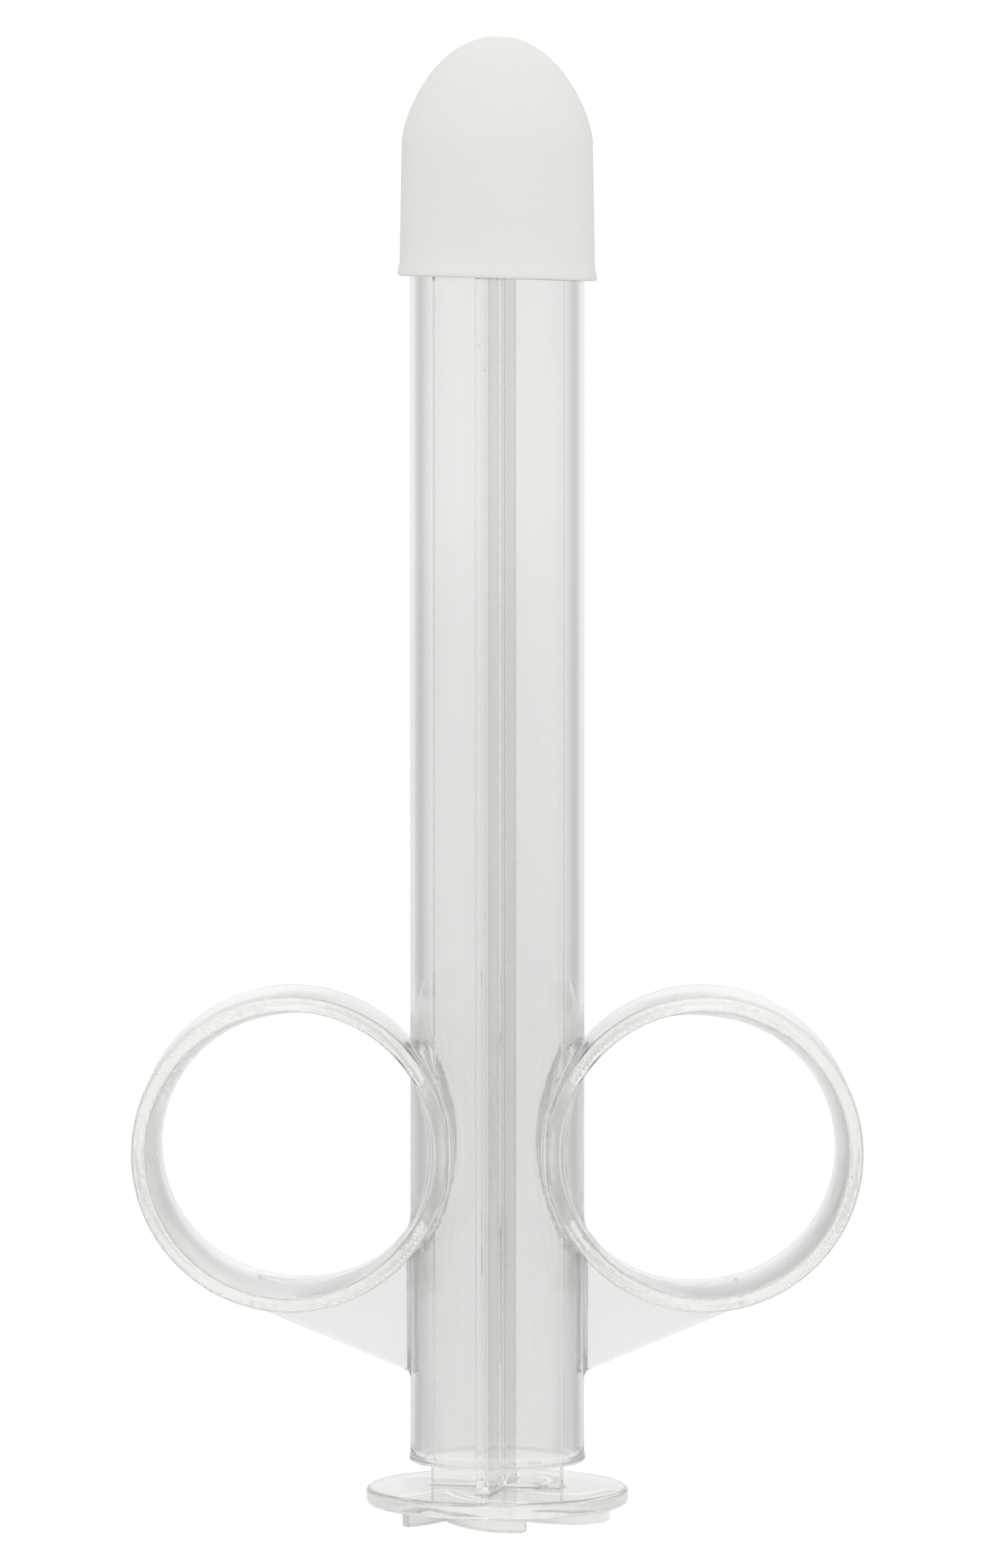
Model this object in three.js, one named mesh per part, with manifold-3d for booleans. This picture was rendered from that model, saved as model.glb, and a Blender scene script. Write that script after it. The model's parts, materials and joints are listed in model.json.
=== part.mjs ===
// A clear plastic plunger applicator: a tube barrel with two finger rings, a cross-ribbed plunger with a
// round thumb disc, a soft piston seal at the plunger's front end and a frosted cap pushed over the tip.
// Millimetres. +Z runs along the barrel towards the cap, +X across the finger rings, -Y is the front.
// The origin is on the barrel's axis, in the plane of the grip ribs' undersides, so it stands on them.
import * as THREE from "three";
import { mergeVertices } from "three/addons/utils/BufferGeometryUtils.js";
import Module from "manifold-3d";

const wasm = await Module();
wasm.setup();

// Driving dimensions
const GAP = 0.25; // clearance left where one solid is cut round its neighbour
const BARREL_RADIUS = 8.07;
const BARREL_WALL = 1.27;
const BARREL_REAR = 5.4;
const BARREL_TIP = 125.9;
const BARREL_EDGE = 0.3; // rounding of both barrel ends
const REAR_LIP_HEIGHT = 1.1;
const REAR_LIP_FLARE = 0.13;

const RING_OFFSET = 19.07; // ring centre from the barrel's axis
const RING_HEIGHT = 34.5; // ring centre above the ground plane
const RING_OUTER = 14.58;
const RING_RIM_INNER = 13.16; // hole radius at the two rims
const RING_MID_INNER = 12.3; // hole radius at the mid-plane, where the two mould halves meet
const RING_HALF_WIDTH = 7.15;
const RING_EDGE = 0.35;

const WEB_THICKNESS = 1.2;
const WEB_SLOPE = THREE.MathUtils.degToRad(22.9); // lower edge against the horizontal
const WEB_EDGE_DISTANCE = 14.92; // ring centre to the web's lower edge
const WEB_THIN_END = 0.35; // depth of the web where it runs out under the ring

const DISC_RADIUS = 12.14;
const DISC_THICKNESS = 1.5;
const DISC_EDGE = 0.35;

const RIB_HEIGHT = 1.45;
const RIB_THICKNESS = 1.1;
const RIB_COUNT = 5;
const RIB_TIP_RADIUS = 10.5;
const RIB_MID_RADIUS = 8.3;
const RIB_END_RADIUS = 4.6;
const RIB_MID_SWEEP = THREE.MathUtils.degToRad(20);
const RIB_END_SWEEP = THREE.MathUtils.degToRad(41);
const RIB_FIRST_TIP = THREE.MathUtils.degToRad(-3);

const STEM_SPAN = 12.38; // across two opposite stem ribs
const STEM_RIB_THICKNESS = 1.27;
const STEM_ROOT_FILLET = 0.3;
const STEM_TWIST = THREE.MathUtils.degToRad(-12.6); // the stem's ribs against the rings' plane
const STEM_TOP = 117;

const HEAD_RADIUS = 6.3;
const HEAD_THICKNESS = 1.4;
const STUD_NECK_RADIUS = 2;
const STUD_NECK_LENGTH = 1.9;
const STUD_HEAD_RADIUS = 3;
const STUD_HEAD_LENGTH = 1.3;
const STUD_TAPER = 0.6;

const SEAL_RADIUS = 6.72;
const SEAL_GROOVE_RADIUS = 6.2;
const SEAL_LIP = 1;
const SEAL_LIP_SLOPE = 0.3;
const SEAL_CLEARANCE = 0.15; // round the stud, so that the plunger can turn in the seal
const SEAL_FRONT = 123;
const SEAL_CONE = 0.6;

const CAP_TOP = 137.1;
const CAP_RIM = 114.9;
const CAP_DOME_HEIGHT = 9.6;
const CAP_DOME_RADIUS = 8.8;
const CAP_RIM_RADIUS = 9.2;
const CAP_WALL = 0.62;
const CAP_TOP_WALL = 0.9;
const CAP_DOME_HEIGHT_POWER = 1.5;
const CAP_DOME_RADIUS_POWER = 2.15;
const CAP_SKIRT_DRAFT = 0.25;
const CAP_FLARE_HEIGHT = 1.2;
const CAP_EDGE = 0.2;
const CAP_BORE_AT_RIM = 8.35;

// Facets round a full turn
const BARREL_FACETS = 64;
const RING_FACETS = 60;
const CAP_FACETS = 48;
const PISTON_FACETS = 40;

const clearPlastic = { color: 0xf0f0ee, roughness: 0.12, metalness: 0, transparent: true, opacity: 0.35 };
const frostedPlastic = { color: 0xe7e5e0, roughness: 0.55, metalness: 0 };
const softSeal = { color: 0xe4e4e0, roughness: 0.6, metalness: 0 };

function toSolid(geometry) {
  const bare = geometry.clone();
  bare.deleteAttribute("normal");
  bare.deleteAttribute("uv");
  const merged = mergeVertices(bare, 1e-4);
  const vertProperties = merged.getAttribute("position").array;
  const triVerts = new Uint32Array(merged.index.array);
  return new wasm.Manifold(new wasm.Mesh({ numProp: 3, vertProperties, triVerts }));
}

function toGeometry(solid) {
  const mesh = solid.getMesh();
  const geometry = new THREE.BufferGeometry();
  geometry.setAttribute("position", new THREE.BufferAttribute(mesh.vertProperties, mesh.numProp));
  geometry.setIndex(new THREE.BufferAttribute(mesh.triVerts, 1));
  geometry.computeVertexNormals();
  return geometry;
}

function named(name, geometry, look) {
  const mesh = new THREE.Mesh(geometry, new THREE.MeshStandardMaterial(look));
  mesh.name = name;
  return mesh;
}

function at(x, y) {
  return new THREE.Vector2(x, y);
}

// Points of a rounded corner: an arc round (x, y) from one angle to the other, in degrees.
function corner(x, y, radius, fromDegrees, toDegrees, steps) {
  const points = [];
  for (let i = 0; i <= steps; i += 1) {
    const angle = THREE.MathUtils.degToRad(THREE.MathUtils.lerp(fromDegrees, toDegrees, i / steps));
    points.push(at(x + radius * Math.cos(angle), y + radius * Math.sin(angle)));
  }
  return points;
}

// A body of revolution about Z from a profile of (radius, height) points listed upwards on the outside.
function turned(profile, facets) {
  return new THREE.LatheGeometry(profile, facets).rotateX(Math.PI / 2);
}

function barrelTube() {
  const bore = BARREL_RADIUS - BARREL_WALL;
  const lip = BARREL_RADIUS + REAR_LIP_FLARE;
  const profile = [
    ...corner(bore + BARREL_EDGE, BARREL_REAR + BARREL_EDGE, BARREL_EDGE, 180, 270, 2),
    ...corner(lip - BARREL_EDGE, BARREL_REAR + BARREL_EDGE, BARREL_EDGE, 270, 360, 3),
    at(BARREL_RADIUS, BARREL_REAR + REAR_LIP_HEIGHT),
    ...corner(BARREL_RADIUS - BARREL_EDGE, BARREL_TIP - BARREL_EDGE, BARREL_EDGE, 0, 90, 3),
    ...corner(bore + BARREL_EDGE, BARREL_TIP - BARREL_EDGE, BARREL_EDGE, 90, 180, 2),
  ];
  profile.push(profile[0].clone());
  return turned(profile, BARREL_FACETS);
}

// The ring's inside bulges from both rims to the mid-plane. The lathe's own axis, Y, is the ring's axis.
function ringBand() {
  const side = RING_HALF_WIDTH;
  const rimInner = RING_RIM_INNER + RING_EDGE;
  const profile = [
    ...corner(rimInner, -side + RING_EDGE, RING_EDGE, 180, 270, 2),
    ...corner(RING_OUTER - RING_EDGE, -side + RING_EDGE, RING_EDGE, 270, 360, 2),
    ...corner(RING_OUTER - RING_EDGE, side - RING_EDGE, RING_EDGE, 0, 90, 2),
    ...corner(rimInner, side - RING_EDGE, RING_EDGE, 90, 180, 2),
  ];
  const bulgeSteps = 6;
  for (let i = 1; i < bulgeSteps; i += 1) {
    const across = 1 - (2 * i) / bulgeSteps;
    const bulge = (RING_RIM_INNER - RING_MID_INNER) * (1 - across * across);
    profile.push(at(RING_RIM_INNER - bulge, across * (side - RING_EDGE)));
  }
  profile.push(profile[0].clone());
  return new THREE.LatheGeometry(profile, RING_FACETS);
}

function barrelEnvelope() {
  const length = BARREL_TIP - BARREL_REAR;
  return new THREE.CylinderGeometry(BARREL_RADIUS + GAP, BARREL_RADIUS + GAP, length, BARREL_FACETS)
    .rotateX(Math.PI / 2)
    .translate(0, 0, BARREL_REAR + length / 2);
}

function fingerRing(side) {
  const band = ringBand().translate(side * RING_OFFSET, 0, RING_HEIGHT);
  return toGeometry(toSolid(band).subtract(toSolid(barrelEnvelope())));
}

// The thin plate between a ring's underside, the barrel and a sloping lower edge that is nearly tangent
// to the ring. Drawn for the +X side with the ring's centre at the origin of the outline.
function ringWeb(side) {
  const ringArc = RING_OUTER + GAP;
  const barrelSide = BARREL_RADIUS + GAP - RING_OFFSET;
  const edgeFoot = Math.PI * 1.5 + WEB_SLOPE;
  const thinEnd = ringArc + WEB_THIN_END;
  const endAngle = edgeFoot - Math.acos(WEB_EDGE_DISTANCE / thinEnd);
  const lowestEdge = -(WEB_EDGE_DISTANCE - barrelSide * Math.sin(WEB_SLOPE)) / Math.cos(WEB_SLOPE);
  const junction = Math.PI + Math.acos(-barrelSide / ringArc);
  const outline = new THREE.Shape();
  outline.moveTo(barrelSide, lowestEdge);
  outline.lineTo(thinEnd * Math.cos(endAngle), thinEnd * Math.sin(endAngle));
  outline.absarc(0, 0, ringArc, endAngle, junction, true);
  outline.closePath();
  const plate = new THREE.ExtrudeGeometry(outline, {
    depth: WEB_THICKNESS,
    bevelEnabled: false,
    curveSegments: 20,
  });
  plate.translate(RING_OFFSET, 0, -WEB_THICKNESS / 2).rotateX(Math.PI / 2);
  plate.translate(0, 0, RING_HEIGHT);
  return side > 0 ? plate : plate.rotateZ(Math.PI);
}

// The plunger's stem: two crossed plates with a small fillet in each inner corner.
function plungerStem() {
  const reach = STEM_SPAN / 2;
  const half = STEM_RIB_THICKNESS / 2;
  const outline = new THREE.Shape();
  for (let quarter = 0; quarter < 4; quarter += 1) {
    const turn = (quarter * Math.PI) / 2;
    const place = (x, y) => at(x, y).rotateAround(at(0, 0), turn).toArray();
    const filletCentre = place(half + STEM_ROOT_FILLET, half + STEM_ROOT_FILLET);
    if (quarter === 0) outline.moveTo(...place(reach, -half));
    else outline.lineTo(...place(reach, -half));
    outline.lineTo(...place(reach, half));
    outline.lineTo(...place(half + STEM_ROOT_FILLET, half));
    outline.absarc(...filletCentre, STEM_ROOT_FILLET, turn + Math.PI * 1.5, turn + Math.PI, true);
  }
  outline.closePath();
  const foot = RIB_HEIGHT + DISC_THICKNESS;
  const stem = new THREE.ExtrudeGeometry(outline, {
    depth: STEM_TOP - foot,
    bevelEnabled: false,
    curveSegments: 3,
  });
  return stem.rotateZ(STEM_TWIST).translate(0, 0, foot);
}

function thumbDisc() {
  const bottom = RIB_HEIGHT;
  const top = RIB_HEIGHT + DISC_THICKNESS;
  const profile = [
    at(0, bottom),
    ...corner(DISC_RADIUS - DISC_EDGE, bottom + DISC_EDGE, DISC_EDGE, 270, 360, 3),
    ...corner(DISC_RADIUS - DISC_EDGE, top - DISC_EDGE, DISC_EDGE, 0, 90, 3),
    at(0, top),
  ];
  return turned(profile, BARREL_FACETS);
}

// A grip rib under the thumb disc follows a gentle curve from its tip at the disc's edge inwards.
function gripRib(tipAngle) {
  const onCurve = (radius, sweep) => at(radius, 0).rotateAround(at(0, 0), tipAngle - sweep);
  const line = new THREE.SplineCurve([
    onCurve(RIB_TIP_RADIUS, 0),
    onCurve(RIB_MID_RADIUS, RIB_MID_SWEEP),
    onCurve(RIB_END_RADIUS, RIB_END_SWEEP),
  ]);
  const steps = 8;
  const oneSide = [];
  const otherSide = [];
  for (let i = 0; i <= steps; i += 1) {
    const middle = line.getPoint(i / steps);
    const along = line.getTangent(i / steps);
    const across = at(-along.y, along.x).multiplyScalar(RIB_THICKNESS / 2);
    oneSide.push(middle.clone().add(across));
    otherSide.unshift(middle.clone().sub(across));
  }
  const outline = new THREE.Shape([...oneSide, ...otherSide]);
  return new THREE.ExtrudeGeometry(outline, { depth: RIB_HEIGHT, bevelEnabled: false });
}

// The stem's front end: a round plate with a barbed stud that the seal is pressed over.
function pistonHead() {
  const neckStart = STEM_TOP + HEAD_THICKNESS;
  const studHead = neckStart + STUD_NECK_LENGTH;
  const studTop = studHead + STUD_HEAD_LENGTH;
  const profile = [
    at(0, STEM_TOP),
    at(HEAD_RADIUS, STEM_TOP),
    at(HEAD_RADIUS, neckStart),
    at(STUD_NECK_RADIUS, neckStart),
    at(STUD_NECK_RADIUS, studHead),
    at(STUD_HEAD_RADIUS, studHead),
    at(STUD_HEAD_RADIUS - STUD_TAPER, studTop),
    at(0, studTop),
  ];
  return turned(profile, PISTON_FACETS);
}

// The soft seal: two lips that wipe the bore, a groove between them and a pocket that holds the stud.
function pistonSeal() {
  const rear = STEM_TOP + HEAD_THICKNESS + SEAL_CLEARANCE;
  const neck = STUD_NECK_RADIUS + SEAL_CLEARANCE;
  const pocket = STUD_HEAD_RADIUS + SEAL_CLEARANCE;
  const pocketRear = STEM_TOP + HEAD_THICKNESS + STUD_NECK_LENGTH - SEAL_CLEARANCE;
  const pocketFront = STEM_TOP + HEAD_THICKNESS + STUD_NECK_LENGTH + STUD_HEAD_LENGTH + SEAL_CLEARANCE;
  const shoulder = SEAL_FRONT - SEAL_CONE;
  const grooveStart = rear + SEAL_LIP;
  const grooveEnd = shoulder - SEAL_LIP;
  const profile = [
    at(0, pocketFront),
    at(pocket, pocketFront),
    at(pocket, pocketRear),
    at(neck, pocketRear),
    at(neck, rear),
    at(SEAL_RADIUS, rear),
    at(SEAL_RADIUS, grooveStart),
    at(SEAL_GROOVE_RADIUS, grooveStart + SEAL_LIP_SLOPE),
    at(SEAL_GROOVE_RADIUS, grooveEnd - SEAL_LIP_SLOPE),
    at(SEAL_RADIUS, grooveEnd),
    at(SEAL_RADIUS, shoulder),
    at(0, SEAL_FRONT),
  ];
  return turned(profile, PISTON_FACETS);
}

// The cap's dome closes as a superellipse; its skirt widens slowly to a small flare at the rim.
function domeRadius(rise, height, radius) {
  const share = Math.min(rise / height, 1);
  return radius * (1 - share ** CAP_DOME_HEIGHT_POWER) ** (1 / CAP_DOME_RADIUS_POWER);
}

function cap() {
  const domeBase = CAP_TOP - CAP_DOME_HEIGHT;
  const skirtRadius = CAP_DOME_RADIUS + CAP_SKIRT_DRAFT;
  const innerRadius = CAP_DOME_RADIUS - CAP_WALL;
  const innerHeight = CAP_DOME_HEIGHT - CAP_TOP_WALL;
  const domeSteps = 10;
  const inside = [];
  const outside = [];
  for (let i = 0; i <= domeSteps; i += 1) {
    const share = Math.sin((i / domeSteps) * (Math.PI / 2));
    const outerRise = share * CAP_DOME_HEIGHT;
    const innerRise = share * innerHeight;
    outside.push(at(domeRadius(outerRise, CAP_DOME_HEIGHT, CAP_DOME_RADIUS), domeBase + outerRise));
    inside.unshift(at(domeRadius(innerRise, innerHeight, innerRadius), domeBase + innerRise));
  }
  const profile = [
    ...inside,
    at(CAP_BORE_AT_RIM, CAP_RIM + CAP_EDGE),
    at(CAP_BORE_AT_RIM + CAP_EDGE, CAP_RIM),
    at(CAP_RIM_RADIUS - CAP_EDGE, CAP_RIM),
    at(CAP_RIM_RADIUS, CAP_RIM + CAP_EDGE),
    at(skirtRadius, CAP_RIM + CAP_FLARE_HEIGHT),
    ...outside,
  ];
  return turned(profile, CAP_FACETS);
}

const applicator = new THREE.Group();
applicator.add(named("barrel_tube", barrelTube(), clearPlastic));
for (const [name, side] of [["left", -1], ["right", 1]]) {
  applicator.add(named(`finger_ring_${name}`, fingerRing(side), clearPlastic));
  applicator.add(named(`ring_web_${name}`, ringWeb(side), clearPlastic));
}
applicator.add(named("plunger_stem", plungerStem(), clearPlastic));
applicator.add(named("thumb_disc", thumbDisc(), clearPlastic));
for (let i = 0; i < RIB_COUNT; i += 1) {
  const tipAngle = RIB_FIRST_TIP - (i * 2 * Math.PI) / RIB_COUNT;
  applicator.add(named(`grip_rib_${i + 1}`, gripRib(tipAngle), clearPlastic));
}
applicator.add(named("piston_head", pistonHead(), clearPlastic));
applicator.add(named("piston_seal", pistonSeal(), softSeal));
applicator.add(named("cap", cap(), frostedPlastic));

export default applicator;
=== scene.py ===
"""The looks of a clear plunger applicator with a frosted cap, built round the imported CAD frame.

Shapes are worked out in millimetres in the frame's axes and turned into metres when a mesh is made.
"""

import json
import math

import bpy
import numpy as np
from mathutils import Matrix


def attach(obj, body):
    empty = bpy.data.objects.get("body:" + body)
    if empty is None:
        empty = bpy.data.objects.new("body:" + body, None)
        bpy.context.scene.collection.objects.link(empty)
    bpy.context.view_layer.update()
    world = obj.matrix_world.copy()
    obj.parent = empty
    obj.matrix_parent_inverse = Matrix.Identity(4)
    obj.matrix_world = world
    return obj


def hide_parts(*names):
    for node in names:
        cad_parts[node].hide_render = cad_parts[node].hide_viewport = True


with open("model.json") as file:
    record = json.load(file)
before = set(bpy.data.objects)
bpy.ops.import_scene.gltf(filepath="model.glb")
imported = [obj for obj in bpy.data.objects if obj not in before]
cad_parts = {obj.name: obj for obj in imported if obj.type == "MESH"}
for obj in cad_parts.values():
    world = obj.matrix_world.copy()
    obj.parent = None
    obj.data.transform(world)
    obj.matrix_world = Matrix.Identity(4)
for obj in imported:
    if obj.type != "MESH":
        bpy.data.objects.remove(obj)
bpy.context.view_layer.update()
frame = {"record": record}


# Dimensions in millimetres
BARREL_RADIUS = 8.07
BORE_RADIUS = 6.8
BARREL_REAR = 5.4
BARREL_TIP = 125.9
BARREL_EDGE = 0.3
REAR_LIP_HEIGHT = 1.1
REAR_LIP_FLARE = 0.13

RING_OFFSET = 19.07
RING_HEIGHT = 34.5
RING_OUTER = 14.58
RING_RIM_INNER = 13.16
RING_HALF_WIDTH = 7.15
RING_EDGE = 0.35
RING_FILLET = 0.55
# The finger hole at the middle of its width, by side (-1 is left): its radius, how far it is off
# round, and where that lies
HOLE_SHAPE = {-1: (12.22, 0.42, math.radians(50)), 1: (12.3, 0.1, math.radians(-30))}
# It opens out below and above, each from so many degrees off level and over so many degrees
HOLE_OPENS_BELOW = (78, 60)
HOLE_OPENS_ABOVE = (80, 45)
HOLE_OPENING = 0.85
HOLE_OPENING_AT_BACK = 0.5

WEB_HALF_THICKNESS = 0.6
WEB_SLOPE = math.radians(22.9)
WEB_EDGE_DISTANCE = 14.92
WEB_EDGE = 0.2
WEB_FILLET = 0.5
WEB_SINK = 0.45
WEB_RUN_OUT = 2.4
WEB_TOP = -6

DISC_RADIUS = 12.14
DISC_BOTTOM = 1.45
DISC_TOP = 2.95
DISC_EDGE = 0.35
DISC_FILLET = 0.3

RIB_HALF_THICKNESS = 0.55
RIB_HALF_HEIGHT = 1.0
RIB_EDGE = 0.25
RIB_FILLET = 0.35
RIB_TIP_RADIUS = 10.6
# Each grip rib's centre line, from its tip at the disc's edge inwards
RIB_LINES = (
    ((10.5, -1.9), (9.3, -3.6), (6.9, -4.7), (3.2, -3.2)),
    ((2.5, -10.6), (-1.2, -8.6), (-3.6, -5.0), (-4.6, -1.7)),
    ((-9.1, -6.7), (-7.7, -5.7), (-6.2, -4.1), (-4.7, -1.6)),
    ((-8.2, 6.7), (-5.1, 6.5), (-3.3, 5.6), (-0.8, 4.5)),
    ((3.9, 9.8), (5.0, 7.1), (4.9, 5.4), (4.0, 2.3)),
)

STEM_REACH = 6.19
STEM_HALF_THICKNESS = 0.635
STEM_TWIST = math.radians(-12.6)
STEM_BOTTOM = 2.2
STEM_TOP = 117.0
STEM_SINK = 0.5
STEM_EDGE = 0.18
STEM_FILLET = 0.5

HEAD_RADIUS = 6.3
HEAD_THICKNESS = 1.4
HEAD_EDGE = 0.2
HEAD_FILLET = 0.4
STUD_NECK_RADIUS = 2.0
STUD_NECK_LENGTH = 1.9
STUD_NECK_HALF_HEIGHT = 1.4
STUD_HEAD_RADIUS = 3.0
STUD_HEAD_LENGTH = 1.3
STUD_HEAD_TAPER = 0.45
STUD_EDGE = 0.2
STUD_FILLET = 0.2

SEAL_RADIUS = 6.72
SEAL_WAIST_RADIUS = 6.2
SEAL_SIDE_TOP = 122.4
SEAL_FRONT = 123.0
SEAL_PLAY = 0.15
# Each lip's middle and half its height; the rear one is measured from the seal's rear
SEAL_REAR_LIP = (0.55, 0.55)
SEAL_FRONT_LIP = (121.75, 0.62)
# (radius, height) points of the front's rounded edge
SEAL_FRONT_EDGE = ((6.45, 122.55), (4.4, 122.75))

CAP_TOP = 137.1
CAP_RIM = 114.9
CAP_DOME_HEIGHT = 9.6
CAP_DOME_RADIUS = 8.8
CAP_DOME_DROP = 0.06
CAP_SKIRT_FLARE = 0.2
CAP_WALL = 0.62
CAP_TOP_WALL = 0.9
CAP_BORE_RIM = 8.35
CAP_LIP_HEIGHT = 1.3
CAP_BORE_START = 0.3
# The lower edge, from the bore outwards: (radius, height above the rim)
CAP_LIP = (
    (8.4, 0.12),
    (8.55, 0.02),
    (8.75, 0.0),
    (9.0, 0.02),
    (9.13, 0.1),
    (9.19, 0.24),
    (9.18, 0.42),
    (9.12, 0.7),
    (9.08, 1.0),
)
# The rim is cut a little askew: how far up that reaches, the drop at the middle and across X
RIM_SLANT_REACH = 8
RIM_SLANT_DROP = 0.09
RIM_SLANT_SLOPE = 0.028

# A radius this small closes a turned body at its axis
AXIS_RADIUS = 0.01
# Farther away than any point of the shapes
FAR = 1e3


# ---------------------------------------------------------------- solid fields and meshes


def smooth_step(t):
    t = np.clip(t, 0, 1)
    return t * t * (3 - 2 * t)


def rounded_cut(a, b, radius):
    """The overlap of two solids, with the edge between them rounded."""
    outer = np.hypot(np.maximum(a + radius, 0), np.maximum(b + radius, 0))
    return np.minimum(np.maximum(a, b), -radius) + outer


def filleted_join(a, b, size):
    """Both solids together, with a fillet in the corner between them."""
    h = np.maximum(size - np.abs(a - b), 0) / size
    return np.minimum(a, b) - h * h * size / 4


def barrel_wall(r, z):
    lip = REAR_LIP_FLARE * smooth_step((BARREL_REAR + REAR_LIP_HEIGHT - z) / REAR_LIP_HEIGHT)
    across = np.maximum(r - BARREL_RADIUS - lip, BORE_RADIUS - r)
    middle = (BARREL_TIP + BARREL_REAR) / 2
    along = np.abs(z - middle) - (BARREL_TIP - BARREL_REAR) / 2
    return rounded_cut(across, along, BARREL_EDGE)


def ring_hole_radius(turn, y, side):
    """The finger hole's radius. It is tightest at the middle of the ring's width and opens out
    where the ring runs into the barrel, more so below than above."""
    radius, off_round, lean = HOLE_SHAPE[side]
    middle = radius - off_round * np.cos(turn + lean)
    degrees = np.degrees(turn)
    below = smooth_step((-degrees - HOLE_OPENS_BELOW[0]) / HOLE_OPENS_BELOW[1])
    above = smooth_step((degrees - HOLE_OPENS_ABOVE[0]) / HOLE_OPENS_ABOVE[1])
    middle = np.minimum(middle + HOLE_OPENING * (below + above), RING_RIM_INNER)
    share = 1 - np.clip(y / (RING_HALF_WIDTH - RING_EDGE), -1, 1) ** 2
    far_side = HOLE_OPENING_AT_BACK * below * smooth_step(y / RING_HALF_WIDTH)
    return RING_RIM_INNER - (RING_RIM_INNER - middle) * share + far_side


def ring_and_web(x, y, z, r, side):
    """One finger ring and the thin sloping web under it, which runs out into the barrel."""
    dx = side * x - RING_OFFSET
    dz = z - RING_HEIGHT
    rho = np.hypot(dx, dz)
    turn = np.arctan2(dz, dx)
    width = np.abs(y) - RING_HALF_WIDTH
    band = rounded_cut(rho - RING_OUTER, width, RING_EDGE)
    band = rounded_cut(band, ring_hole_radius(turn, y, side) - rho, RING_EDGE)
    sine, cosine = math.sin(WEB_SLOPE), math.cos(WEB_SLOPE)
    lower_edge = dx * sine - dz * cosine - WEB_EDGE_DISTANCE
    run_out = dx * cosine + dz * sine + WEB_RUN_OUT
    plate = rounded_cut(np.abs(y) - WEB_HALF_THICKNESS, lower_edge, WEB_EDGE)
    plate = np.maximum(plate, np.maximum(RING_OUTER - WEB_SINK - rho, run_out))
    plate = np.maximum(plate, np.maximum(dz - WEB_TOP, -side * x))
    both = filleted_join(band, plate, WEB_FILLET)
    return np.maximum(both, (BARREL_RADIUS + BORE_RADIUS) / 2 - r)


def barrel_field(x, y, z):
    r = np.hypot(x, y)
    handles = np.minimum(ring_and_web(x, y, z, r, 1), ring_and_web(x, y, z, r, -1))
    return filleted_join(barrel_wall(r, z), handles, RING_FILLET)


def smooth_line(ends):
    """A curve through four points, as a run of short straight pieces."""
    p = np.array([2 * np.array(ends[0]) - ends[1], *ends, 2 * np.array(ends[-1]) - ends[-2]])
    points = [p[1]]
    pieces = 8
    for k in range(1, 4):
        for i in range(1, pieces + 1):
            t = i / pieces
            a, b, c, d = p[k - 1], p[k], p[k + 1], p[k + 2]
            bend = (2 * a - 5 * b + 4 * c - d) * t * t + (3 * b - a - 3 * c + d) * t**3
            points.append(b + ((c - a) * t + bend) / 2)
    return points


def distance_to_line(x, y, points):
    best = np.full(np.shape(x), FAR)
    for (x0, y0), (x1, y1) in zip(points, points[1:]):
        ex, ey = x1 - x0, y1 - y0
        t = np.clip(((x - x0) * ex + (y - y0) * ey) / (ex * ex + ey * ey), 0, 1)
        best = np.minimum(best, np.hypot(x - x0 - t * ex, y - y0 - t * ey))
    return best


def plunger_field(x, y, z):
    r = np.hypot(x, y)
    cosine, sine = math.cos(STEM_TWIST), math.sin(STEM_TWIST)
    u, v = np.abs(x * cosine + y * sine), np.abs(y * cosine - x * sine)
    plate_u = rounded_cut(v - STEM_HALF_THICKNESS, u - STEM_REACH, STEM_EDGE)
    plate_v = rounded_cut(u - STEM_HALF_THICKNESS, v - STEM_REACH, STEM_EDGE)
    stem_ends = np.maximum(z - STEM_TOP - STEM_SINK, STEM_BOTTOM - z)
    stem = np.maximum(filleted_join(plate_u, plate_v, STEM_FILLET), stem_ends)
    middle = (DISC_BOTTOM + DISC_TOP) / 2
    disc_faces = np.abs(z - middle) - (DISC_TOP - DISC_BOTTOM) / 2
    disc = rounded_cut(r - DISC_RADIUS, disc_faces, DISC_EDGE)
    body = filleted_join(stem, disc, DISC_FILLET)
    ribs = np.full(np.shape(x), FAR)
    for ends in RIB_LINES:
        ribs = np.minimum(ribs, distance_to_line(x, y, smooth_line(ends)) - RIB_HALF_THICKNESS)
    ribs = rounded_cut(ribs, r - RIB_TIP_RADIUS, RIB_EDGE)
    ribs = rounded_cut(ribs, np.abs(z - RIB_HALF_HEIGHT) - RIB_HALF_HEIGHT, RIB_EDGE)
    body = filleted_join(body, ribs, RIB_FILLET)
    neck_start = STEM_TOP + HEAD_THICKNESS
    neck_end = neck_start + STUD_NECK_LENGTH
    top = neck_end + STUD_HEAD_LENGTH
    plate_faces = np.abs(z - STEM_TOP - HEAD_THICKNESS / 2) - HEAD_THICKNESS / 2
    plate = rounded_cut(r - HEAD_RADIUS, plate_faces, HEAD_EDGE)
    neck = np.maximum(r - STUD_NECK_RADIUS, np.abs(z - neck_start - 1) - STUD_NECK_HALF_HEIGHT)
    taper = STUD_HEAD_RADIUS - STUD_HEAD_TAPER * np.clip(z - neck_end, 0, 2)
    stud = rounded_cut(r - taper, np.maximum(neck_end - z, z - top), STUD_EDGE)
    head = filleted_join(filleted_join(plate, neck, HEAD_FILLET), stud, STUD_FILLET)
    return filleted_join(body, head, HEAD_FILLET)


# How surface_of moves its vertices: how near a cell's wall they may come, as a share of the cell,
# how often they are moved, and the least squared slope that a move is divided by
CELL_MARGIN = 0.03
SURFACE_PASSES = 4
LEAST_SQUARED_SLOPE = 0.05


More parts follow.
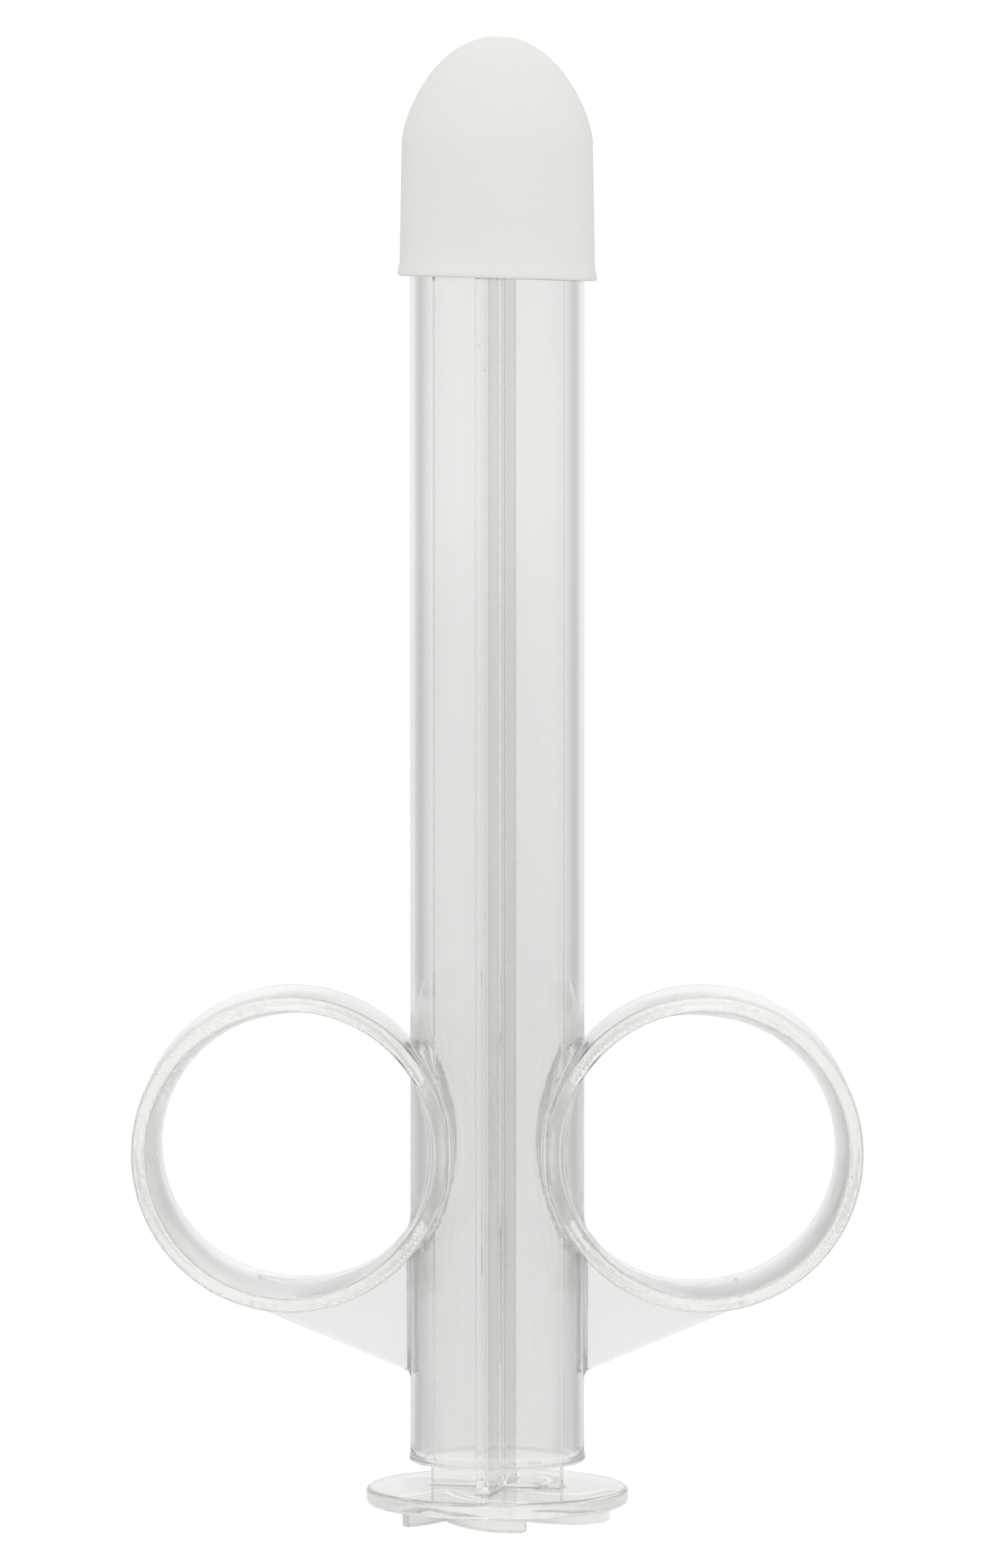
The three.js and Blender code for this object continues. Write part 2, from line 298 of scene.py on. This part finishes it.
def gradient(field, points):
    step = 1e-3
    found = np.empty_like(points)
    for axis in range(3):
        shift = np.zeros(3)
        shift[axis] = step
        found[:, axis] = (field(*(points + shift).T) - field(*(points - shift).T)) / (2 * step)
    return found


def surface_of(field, xs, ys, zs):
    """The field's zero surface on a grid of uneven steps: one vertex for each cell the surface
    crosses, then moved onto the surface itself. Returns vertices, normals and faces."""
    grid = (np.asarray(xs), np.asarray(ys), np.asarray(zs))
    values = field(*np.meshgrid(*grid, indexing="ij"))
    inside = values < 0
    cells = tuple(n - 1 for n in values.shape)
    total = cells[0] * cells[1] * cells[2]
    sums = np.zeros((3, total))
    count = np.zeros(total)
    edges = []
    for axis in range(3):
        low = [slice(None)] * 3
        high = [slice(None)] * 3
        low[axis], high[axis] = slice(None, -1), slice(1, None)
        low, high = tuple(low), tuple(high)
        index = np.array(np.nonzero(inside[low] != inside[high]))
        at_low, at_high = values[low][tuple(index)], values[high][tuple(index)]
        share = at_low / (at_low - at_high)
        point = [grid[k][index[k]] for k in range(3)]
        ahead = grid[axis][index[axis] + 1]
        point[axis] = point[axis] + share * (ahead - point[axis])
        b, c = (axis + 1) % 3, (axis + 2) % 3
        around = []
        whole = np.ones(index.shape[1], bool)
        for db, dc in ((-1, -1), (0, -1), (0, 0), (-1, 0)):
            cell = index.copy()
            cell[b] += db
            cell[c] += dc
            good = (cell[b] >= 0) & (cell[b] < cells[b]) & (cell[c] >= 0) & (cell[c] < cells[c])
            whole &= good
            held = [np.clip(cell[k], 0, cells[k] - 1) for k in range(3)]
            flat = (held[0] * cells[1] + held[1]) * cells[2] + held[2]
            around.append(flat)
            count += np.bincount(flat[good], minlength=total)
            for k in range(3):
                sums[k] += np.bincount(flat[good], weights=point[k][good], minlength=total)
        edges.append((np.array(around)[:, whole], at_low[whole] < 0))
    used = np.nonzero(count)[0]
    number = np.full(total, -1)
    number[used] = np.arange(len(used))
    points = (sums[:, used] / count[used]).T
    place = np.unravel_index(used, cells)
    lowest = np.stack([grid[k][place[k]] for k in range(3)], 1)
    highest = np.stack([grid[k][place[k] + 1] for k in range(3)], 1)
    margin = CELL_MARGIN * (highest - lowest)
    for _ in range(SURFACE_PASSES):
        slope = gradient(field, points)
        size = np.maximum((slope**2).sum(1), LEAST_SQUARED_SLOPE)
        points = points - slope * (field(*points.T) / size)[:, None]
        points = np.clip(points, lowest + margin, highest - margin)
    normals = gradient(field, points)
    normals /= np.maximum(np.linalg.norm(normals, axis=1), 1e-9)[:, None]
    faces = []
    for around, starts_inside in edges:
        quads = number[around].T
        faces.append(np.where(starts_inside[:, None], quads, quads[:, ::-1]))
    return points, normals, np.concatenate(faces)


def stations(*runs):
    """Grid positions from (start, end, step) runs that follow each other."""
    found = [runs[0][0]]
    for start, end, step in runs:
        pieces = max(1, round((end - start) / step))
        found += [start + (end - start) * (i + 1) / pieces for i in range(pieces)]
    return np.array(found)


def mirrored(positions):
    return np.concatenate([-positions[::-1], positions])


def make_mesh(name, points, faces, normals=None):
    mesh = bpy.data.meshes.new(name)
    mesh.vertices.add(len(points))
    mesh.vertices.foreach_set("co", (np.asarray(points) / 1000).astype(np.float32).ravel())
    corners = faces.shape[1]
    mesh.loops.add(faces.size)
    mesh.loops.foreach_set("vertex_index", faces.astype(np.int32).ravel())
    mesh.polygons.add(len(faces))
    mesh.polygons.foreach_set("loop_start", np.arange(0, faces.size, corners, dtype=np.int32))
    mesh.update(calc_edges=True)
    mesh.validate()
    mesh.polygons.foreach_set("use_smooth", np.ones(len(mesh.polygons), bool))
    if normals is not None:
        mesh.normals_split_custom_set_from_vertices(normals.astype(np.float32))
    obj = bpy.data.objects.new(name, mesh)
    bpy.context.scene.collection.objects.link(obj)
    return obj


def turned(name, profile, count, shape=None):
    """A closed body of revolution about Z from (radius, height) points, up the outside."""
    profile = np.array(profile)
    turn = np.arange(count) * 2 * math.pi / count
    points = np.stack(
        [
            np.outer(np.cos(turn), profile[:, 0]),
            np.outer(np.sin(turn), profile[:, 0]),
            np.tile(profile[:, 1], (count, 1)),
        ],
        -1,
    )
    if shape is not None:
        points = shape(points)
    rows = len(profile)
    i, j = np.meshgrid(np.arange(count), np.arange(rows), indexing="ij")
    ahead, above = (i + 1) % count, (j + 1) % rows
    faces = np.stack([i * rows + j, ahead * rows + j, ahead * rows + above, i * rows + above], -1)
    return make_mesh(name, points.reshape(-1, 3), faces.reshape(-1, 4))


# ---------------------------------------------------------------- the four mouldings

across_x = mirrored(stations((0.16, 33.9, 0.335)))
across_y = mirrored(
    stations((0.1, 0.9, 0.2), (0.9, 6.3, 0.54), (6.3, 7.5, 0.2), (7.5, 8.4, 0.3))
)
up_barrel = stations(
    (5.1, 6.9, 0.2), (6.9, 12.9, 2), (12.9, 49.5, 0.33), (49.5, 124.9, 4.2), (124.9, 126.3, 0.2)
)
points, normals, faces = surface_of(barrel_field, across_x, across_y, up_barrel)
barrel = make_mesh("barrel_moulding", points, faces, normals)

across = mirrored(stations((0.1, 6.9, 0.2), (6.9, 12.5, 0.28)))
up_plunger = stations(
    (-0.15, 3.9, 0.2), (3.9, 6.4, 0.9), (6.4, 115.9, 5.5), (115.9, 116.5, 0.3), (116.5, 122.1, 0.2)
)
points, normals, faces = surface_of(plunger_field, across, across, up_plunger)
plunger = make_mesh("plunger_moulding", points, faces, normals)


def lip_bulge(z, middle, half_height):
    return math.exp(-(((z - middle) / half_height) ** 4))


def seal_profile():
    """The seal in section: a pocket that holds the stud, and two lips with a waist between them."""
    rear = STEM_TOP + HEAD_THICKNESS + SEAL_PLAY
    neck, pocket = STUD_NECK_RADIUS + SEAL_PLAY, STUD_HEAD_RADIUS + SEAL_PLAY
    pocket_rear = STEM_TOP + HEAD_THICKNESS + STUD_NECK_LENGTH - SEAL_PLAY
    pocket_front = STEM_TOP + HEAD_THICKNESS + STUD_NECK_LENGTH + STUD_HEAD_LENGTH + SEAL_PLAY
    outside = []
    steps = 40
    for i in range(steps + 1):
        z = rear + (SEAL_SIDE_TOP - rear) * i / steps
        lips = max(lip_bulge(z - rear, *SEAL_REAR_LIP), lip_bulge(z, *SEAL_FRONT_LIP))
        ends = min(1, (z - rear + 0.12) / 0.25)
        bulge = (SEAL_RADIUS - SEAL_WAIST_RADIUS) * lips * ends**0.5
        outside.append((SEAL_WAIST_RADIUS + bulge - 0.1 * (1 - ends), z))
    return [
        (AXIS_RADIUS, pocket_front),
        (pocket, pocket_front),
        (pocket, pocket_rear),
        (neck, pocket_rear),
        (neck, rear),
        *outside,
        *SEAL_FRONT_EDGE,
        (AXIS_RADIUS, SEAL_FRONT),
    ]


seal = turned("piston_seal_soft", seal_profile(), 96)


def dome(rise, height, radius):
    """The dome's radius at a rise above its base, but never quite 0."""
    return max(radius * (1 - min(rise / height, 1) ** 1.46) ** (1 / 2.08), AXIS_RADIUS)


def cap_profile():
    """The cap in section: down the inside, round the lip and up the outside."""
    base = CAP_TOP - CAP_DOME_HEIGHT - CAP_DOME_DROP
    skirt = CAP_DOME_RADIUS + CAP_SKIRT_FLARE
    inner_radius = CAP_DOME_RADIUS - CAP_WALL
    inner_height = CAP_DOME_HEIGHT - CAP_TOP_WALL
    outside, inside = [], []
    steps = 44
    for i in range(steps + 1):
        share = math.sin(i / steps * math.pi / 2)
        outer, inner = share * CAP_DOME_HEIGHT, share * inner_height
        outside.append((dome(outer, CAP_DOME_HEIGHT, CAP_DOME_RADIUS), base + outer))
        inside.insert(0, (dome(inner, inner_height, inner_radius), base + inner))
    rows = 14
    wall_height = base - CAP_RIM - CAP_LIP_HEIGHT
    bore_depth = CAP_RIM + CAP_BORE_START - base
    wall, bore = [], []
    for i in range(rows):
        radius = skirt + (CAP_DOME_RADIUS - skirt) * i / rows
        wall.append((radius, CAP_RIM + CAP_LIP_HEIGHT + wall_height * i / rows))
    for i in range(1, rows + 1):
        radius = inner_radius + (CAP_BORE_RIM - inner_radius) * i / rows
        bore.append((radius, base + bore_depth * i / rows))
    lip = [(radius, CAP_RIM + rise) for radius, rise in CAP_LIP]
    return [*inside, *bore, *lip, *wall, *outside]


def slant_rim(points):
    """The rim is cut a little askew, lower on the +X side."""
    fade = 1 - smooth_step((points[..., 2] - CAP_RIM) / RIM_SLANT_REACH)
    points[..., 2] += fade * (-RIM_SLANT_DROP - RIM_SLANT_SLOPE * points[..., 0])
    return points


cap = turned("cap_frosted", cap_profile(), 144, slant_rim)


# ---------------------------------------------------------------- materials

PLASTIC_IOR = 1.49
RUBBER_IOR = 1.41
# The part of a noise's values that is stretched over a material's range
NOISE_LOW = 0.3
NOISE_HIGH = 0.7
# How wide a speck of dust is, as a share of the distance between specks
SPECK_SIZE = 0.08


class Nodes:
    """A node tree, emptied first, with short ways to add and link its nodes."""

    def __init__(self, tree):
        self.tree = tree
        self.tree.nodes.clear()
        self.where = self.add("ShaderNodeTexCoord")

    def add(self, kind, **settings):
        node = self.tree.nodes.new(kind)
        for key, value in settings.items():
            setattr(node, key, value)
        return node

    def link(self, source, out, target, into):
        self.tree.links.new(source.outputs[out], target.inputs[into])

    def ranged(self, source, out, low, high, to_low, to_high):
        node = self.add("ShaderNodeMapRange")
        node.inputs["From Min"].default_value = low
        node.inputs["From Max"].default_value = high
        node.inputs["To Min"].default_value = to_low
        node.inputs["To Max"].default_value = to_high
        self.link(source, out, node, "Value")
        return node

    def mixed(self, factor, a, b):
        """A colour between a and b, each a colour or a socket. Returns the socket."""
        node = self.add("ShaderNodeMix", data_type="RGBA")
        for end, value in ((6, a), (7, b)):
            if isinstance(value, tuple):
                node.inputs[end].default_value = (*value, 1)
            else:
                self.tree.links.new(value, node.inputs[end])
        self.link(factor, 0, node, 0)
        return node.outputs[2]

    def filled(self, node, ends, values):
        """The node with its inputs set, each from a number or the first output of a node."""
        for end, value in zip(ends, values):
            if isinstance(value, (int, float)):
                node.inputs[end].default_value = value
            else:
                self.link(value, 0, node, end)
        return node


class Graph(Nodes):
    """A material's node tree round one Principled shader."""

    def __init__(self, name):
        self.material = bpy.data.materials.new(name)
        self.material.use_nodes = True
        super().__init__(self.material.node_tree)
        self.shader = self.add("ShaderNodeBsdfPrincipled")
        self.link(self.shader, "BSDF", self.add("ShaderNodeOutputMaterial"), "Surface")

    def stretched(self, scale):
        node = self.add("ShaderNodeMapping")
        node.inputs["Scale"].default_value = scale
        self.link(self.where, "Object", node, "Vector")
        return node

    def noise(self, scale, detail):
        node = self.add("ShaderNodeTexNoise")
        node.inputs["Scale"].default_value = 1.0
        node.inputs["Detail"].default_value = detail
        node.inputs["Roughness"].default_value = 0.5
        self.link(self.stretched(scale), "Vector", node, "Vector")
        return node

    def specks(self, scale):
        """Small dots that are 1 at their middle and 0 elsewhere."""
        node = self.add("ShaderNodeTexVoronoi")
        node.inputs["Scale"].default_value = 1.0
        self.link(self.stretched((scale, scale, scale)), "Vector", node, "Vector")
        return self.ranged(node, "Distance", SPECK_SIZE, 0.0, 0.0, 1.0)

    def spread(self, noise, low, high):
        """A noise's middle values stretched over low to high."""
        return self.ranged(noise, 0, NOISE_LOW, NOISE_HIGH, low, high)

    def share(self, mask, amount):
        """A mask that goes to amount where it went to 1."""
        return self.ranged(mask, 0, 0.0, 1.0, 0.0, amount)

    def step(self, value, low, high):
        """0 below low and 1 above high, or the other way round where low is the larger."""
        return self.ranged(value, 0, low, high, 0.0, 1.0)

    def math(self, operation, *values):
        node = self.add("ShaderNodeMath", operation=operation)
        return self.filled(node, (0, 1), values)

    def level(self, factor, a, b):
        """A number between a and b."""
        return self.filled(self.add("ShaderNodeMix", data_type="FLOAT"), (0, 2, 3), (factor, a, b))

    def chained(self, operation, first, *others):
        for other in others:
            first = self.math(operation, first, other)
        return first

    def length(self, a, b):
        squares = [self.math("MULTIPLY", value, value) for value in (a, b)]
        return self.math("SQRT", self.math("ADD", *squares))

    def axes(self):
        """The place on the object in millimetres, as a node for each axis."""
        split = self.add("ShaderNodeSeparateXYZ")
        self.link(self.where, "Object", split, "Vector")
        found = []
        for axis in range(3):
            held = self.add("ShaderNodeMath", operation="MULTIPLY")
            held.inputs[1].default_value = 1000.0
            self.link(split, axis, held, 0)
            found.append(held)
        return found

    def coloured(self, colour):
        self.tree.links.new(colour, self.shader.inputs["Base Color"])

    def roughened(self, roughness):
        self.link(roughness, 0, self.shader, "Roughness")

    def bumped(self, height, strength, distance):
        node = self.add("ShaderNodeBump")
        node.inputs["Strength"].default_value = strength
        node.inputs["Distance"].default_value = distance
        self.link(height, 0, node, "Height")
        self.link(node, "Normal", self.shader, "Normal")


def barrel_patches(g):
    """Where the barrel's plastic looks different; the lighter tints at the web roots, the ring
    joints, the rims and the rear end are painted highlight and painted light. Each mask fades
    between its two distances in millimetres. Returns (mask, tint) and (mask, clear share, added
    roughness) rows, and a later row goes over the earlier ones."""
    x, y, z = g.axes()
    from_axis = g.length(x, y)
    from_middle = g.math("ABSOLUTE", x)
    from_ring = g.length(
        g.math("SUBTRACT", from_middle, RING_OFFSET), g.math("SUBTRACT", z, RING_HEIGHT)
    )
    # Everything outside the tube is web where it isn't ring
    web = g.step(from_axis, 8.2, 8.6)
    ring = g.chained("MULTIPLY", g.step(from_axis, 8.15, 8.5), g.step(from_ring, 14.8, 14.62))
    # The rings' flat rims, front and back: a warm cream tint, made lighter as a painted highlight
    rim = g.chained("MULTIPLY", ring, g.step(g.math("ABSOLUTE", y), 6.75, 7.0))
    # The tube's rear end: a warm cream tint, made lighter as a painted highlight for its bright
    # edge line
    end = g.step(z, BARREL_REAR + 0.4, BARREL_REAR + 0.2)
    # The tube's sides where the webs run into it: painted highlight, a lighter tint for the bright
    # streak there
    root_painted_highlight = g.chained(
        "MULTIPLY",
        g.step(from_middle, 5.0, 6.0),
        g.step(z, 27.5, 23.5),
        g.step(z, 13.7, 13.9),
        g.step(from_axis, 8.5, 8.2),
    )
    # Where the rings run into the tube: painted light, a lighter tint that lifts the dark where
    # light is trapped there
    joint_painted_light = g.chained(
        "MULTIPLY",
        g.step(from_middle, 6.7, 7.5),
        g.step(z, 48.0, 46.0),
        g.step(from_middle, 11.5, 9.0),
        g.step(z, 20.0, 23.0),
    )
    tints = (
        (root_painted_highlight, (1.0, 1.0, 0.99)),
        (web, (0.985, 0.986, 0.978)),
        (ring, (1.0, 0.995, 0.98)),
        (joint_painted_light, (1.0, 0.997, 0.985)),
        (rim, (1.0, 0.985, 0.955)),
        (end, (1.0, 0.995, 0.975)),
    )
    milky = (
        (root_painted_highlight, 0.96, 0.12),
        (web, 0.86, 0.22),
        (ring, 0.9, 0.13),
        (rim, 0.88, 0.17),
        (joint_painted_light, 0.88, 0.15),
        (end, 0.8, 0.2),
    )
    return tints, milky


def plunger_patches(g):
    """Where the plunger's plastic looks different, in the same rows as barrel_patches. The disc's
    lighter tint is painted light.
    """
    z = g.axes()[2]
    # The disc: painted light, a lighter tint for its top, which the barrel shades
    disc = g.step(z, DISC_TOP + 0.5, DISC_TOP)
    rib = g.step(z, DISC_BOTTOM + 0.05, DISC_BOTTOM - 0.15)
    # The stem's foot on the disc
    foot = g.step(z, 6.2, 5.0)
    tints = (
        (foot, (0.96, 0.957, 0.945)),
        (disc, (1.0, 0.993, 0.972)),
        (rib, (0.95, 0.937, 0.905)),
    )
    milky = ((disc, 0.9, 0.07), (rib, 0.62, 0.2))
    return tints, milky


def clear_plastic(name, tint, waviness, clarity, patches):
    """Clear moulded plastic with haze, fine scratches along it and dust. Its patches have their own
    tint, some made lighter as painted highlight and painted light, and let less light through
    clearly than the rest."""
    g = Graph(name)
    g.shader.inputs["IOR"].default_value = PLASTIC_IOR
    cloud = g.noise((90, 90, 35), 4.0)
    haze = g.noise((160, 160, 60), 4.0)
    scratches = g.ranged(g.noise((2600, 2600, 55), 2.0), 0, 0.68, 0.76, 0.0, 1.0)
    wave = g.noise((330, 330, 9), 1.0)
    dust = g.specks(420)
    darker, lighter = (tuple(part * factor for part in tint) for factor in (0.985, 1.015))
    body = g.mixed(g.spread(cloud, 0.0, 1.0), darker, lighter)
    clear, blur = clarity, 0.0
    tints, milky = patches(g)
    for mask, colour in tints:
        body = g.mixed(mask, body, colour)
    for mask, share, roughness in milky:
        clear = g.level(mask, clear, share)
        blur = g.level(mask, blur, roughness)
    g.coloured(body)
    g.link(clear, 0, g.shader, "Transmission Weight")
    rough = (g.spread(haze, 0.02, 0.045), g.share(scratches, 0.04), g.share(dust, 0.35), blur)
    g.roughened(g.chained("ADD", *rough))
    waves = g.ranged(wave, 0, 0.2, 0.8, 0.0, waviness)
    height = g.chained("ADD", waves, g.share(scratches, -0.02), g.share(dust, 0.35))
    g.bumped(height, 0.08, 0.00004)
    return g.material


def frosted_plastic(name):
    """Frosted, slightly warm plastic with a fine grain and dust."""
    g = Graph(name)
    g.shader.inputs["Transmission Weight"].default_value = 0.3
    g.shader.inputs["IOR"].default_value = PLASTIC_IOR
    cloud = g.noise((70, 70, 70), 4.0)
    haze = g.noise((140, 140, 90), 4.0)
    grain = g.noise((4200, 4200, 4200), 2.0)
    dust = g.specks(500)
    g.coloured(g.mixed(g.spread(cloud, 0.0, 1.0), (0.966, 0.948, 0.908), (0.984, 0.968, 0.93)))
    g.roughened(g.math("ADD", g.spread(haze, 0.46, 0.58), g.share(dust, 0.2)))
    g.bumped(g.math("ADD", g.spread(grain, 0.0, 0.6), g.share(dust, 0.5)), 0.25, 0.00004)
    return g.material


def milky_rubber(name):
    """Soft matte rubber."""
    g = Graph(name)
    g.shader.inputs["IOR"].default_value = RUBBER_IOR
    cloud = g.noise((200, 200, 200), 3.0)
    haze = g.noise((300, 300, 300), 3.0)
    g.coloured(g.mixed(g.spread(cloud, 0.0, 1.0), (0.83, 0.83, 0.80), (0.88, 0.88, 0.86)))
    g.roughened(g.spread(haze, 0.5, 0.66))
    g.bumped(g.noise((2500, 2500, 2500), 2.0), 0.2, 0.00003)
    return g.material


barrel.data.materials.append(
    clear_plastic("clear_barrel", (0.95, 0.949, 0.943), 0.8, 1.0, barrel_patches)
)
plunger.data.materials.append(
    clear_plastic("clear_plunger", (0.885, 0.884, 0.876), 0.5, 0.99, plunger_patches)
)
seal.data.materials.append(milky_rubber("soft_seal"))
cap.data.materials.append(frosted_plastic("frosted_cap"))

for obj, body, slot in (
    (barrel, "barrel", "clear_barrel"),
    (plunger, "plunger", "clear_plunger"),
    (seal, "seal", "soft_seal"),
    (cap, "cap", "frosted_cap"),
):
    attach(obj, body)
    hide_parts(*frame["record"]["behaviour"]["bodies"][body])


# ---------------------------------------------------------------- floor, light and camera

scene = bpy.context.scene

floor_mesh = bpy.data.meshes.new("floor")
floor_mesh.from_pydata([(-4, -4, 0), (4, -4, 0), (4, 4, 0), (-4, 4, 0)], [], [(0, 1, 2, 3)])
floor = bpy.data.objects.new("floor", floor_mesh)
scene.collection.objects.link(floor)

# The backdrop's brightness round the object, by the cosine of the angle from straight behind: -1 is
# the front. It is bright at the front, darker towards the back's sides, and bright again behind.
AROUND = (
    (-1.0, 1.05),
    (-0.6, 1.12),
    (0.0, 0.95),
    (0.5, 0.8),
    (0.72, 0.6),
    (0.84, 0.6),
    (0.92, 0.76),
    (0.975, 1.0),
)
# Its brightness at the left and at the right, against the table above
LEFT_AND_RIGHT = (0.99, 1.01)
OVERHEAD = (1.12, 1.12, 1.12)
# How high, as the sine of the angle, the overhead light begins and is full
OVERHEAD_RISE = (0.2, 0.75)
NEAR_FLOOR = (1.0, 1.0, 1.0)
# In metres from the object's middle: where the near floor's light has faded and where it is full
NEAR_FLOOR_FADE = (0.04, 0.014)
# Where the floor's light starts and stops growing, and its share at both
FLOOR_FADE = (0.4, 3.2, 0.9, 1.0)
WHITE_TO_CAMERA = 1.05


def backdrop(g, direction):
    """The backdrop's brightness in a direction, or at a place on the floor. Returns the node."""
    flat = g.add("ShaderNodeVectorMath", operation="MULTIPLY")
    flat.inputs[1].default_value = (1, 1, 0)
    g.link(g.where, direction, flat, 0)
    unit = g.add("ShaderNodeVectorMath", operation="NORMALIZE")
    g.link(flat, 0, unit, 0)
    split = g.add("ShaderNodeSeparateXYZ")
    g.link(unit, 0, split, 0)
    ramp = g.add("ShaderNodeValToRGB")
    ramp.color_ramp.interpolation = "LINEAR"
    elements = ramp.color_ramp.elements
    elements.remove(elements[1])
    for i, (cosine, level) in enumerate(AROUND):
        place = (cosine + 1) / 2
        element = elements[0] if i == 0 else elements.new(place)
        element.position = place
        element.color = (level, level, level, 1)
    g.link(g.ranged(split, "Y", -1, 1, 0, 1), 0, ramp, 0)
    product = g.add("ShaderNodeVectorMath", operation="SCALE")
    g.link(ramp, 0, product, 0)
    g.link(g.ranged(split, "X", -1, 1, *LEFT_AND_RIGHT), 0, product, "Scale")
    return product


def white_to_camera(g, colour, kind, output):
    """Ends a tree in a shader that is plain white where the camera sees it and has the given
    colour to all other rays."""
    shown = g.add(kind)
    shown.inputs["Color"].default_value = (1, 1, 1, 1)
    shown.inputs["Strength"].default_value = WHITE_TO_CAMERA
    other = g.add(kind)
    g.tree.links.new(colour, other.inputs["Color"])
    mix = g.add("ShaderNodeMixShader")
    g.link(g.add("ShaderNodeLightPath"), "Is Camera Ray", mix, 0)
    g.link(other, 0, mix, 1)
    g.link(shown, 0, mix, 2)
    g.link(mix, 0, g.add(output), "Surface")


paper = bpy.data.materials.new("floor_paper")
paper.use_nodes = True
g = Nodes(paper.node_tree)
away = g.add("ShaderNodeVectorMath", operation="LENGTH")
g.link(g.where, "Object", away, 0)
dimmed = g.add("ShaderNodeVectorMath", operation="SCALE")
g.link(backdrop(g, "Object"), 0, dimmed, 0)
g.link(g.ranged(away, "Value", *FLOOR_FADE), 0, dimmed, "Scale")
near = g.ranged(away, "Value", *NEAR_FLOOR_FADE, 0, 1)
lit = g.mixed(near, dimmed.outputs[0], NEAR_FLOOR)
white_to_camera(g, lit, "ShaderNodeEmission", "ShaderNodeOutputMaterial")
floor_mesh.materials.append(paper)

world = bpy.data.worlds.new("studio")
scene.world = world
world.use_nodes = True
g = Nodes(world.node_tree)
split = g.add("ShaderNodeSeparateXYZ")
g.link(g.where, "Generated", split, 0)
rise = g.ranged(split, "Z", *OVERHEAD_RISE, 0, 1)
lit = g.mixed(rise, backdrop(g, "Generated").outputs[0], OVERHEAD)
white_to_camera(g, lit, "ShaderNodeBackground", "ShaderNodeOutputWorld")

camera_data = bpy.data.cameras.new("camera")
camera = bpy.data.objects.new("camera", camera_data)
scene.collection.objects.link(camera)
camera.location = (0.00025, -0.776, 0.1141)
camera.rotation_euler = (math.radians(90 - 3.385), 0, 0)
camera_data.lens = 193.2
camera_data.sensor_width = 36
camera_data.clip_start = 0.01
camera_data.clip_end = 50
scene.camera = camera

scene.view_settings.view_transform = "Standard"
scene.view_settings.look = "None"
scene.cycles.max_bounces = 64
scene.cycles.transmission_bounces = 64
scene.cycles.glossy_bounces = 64
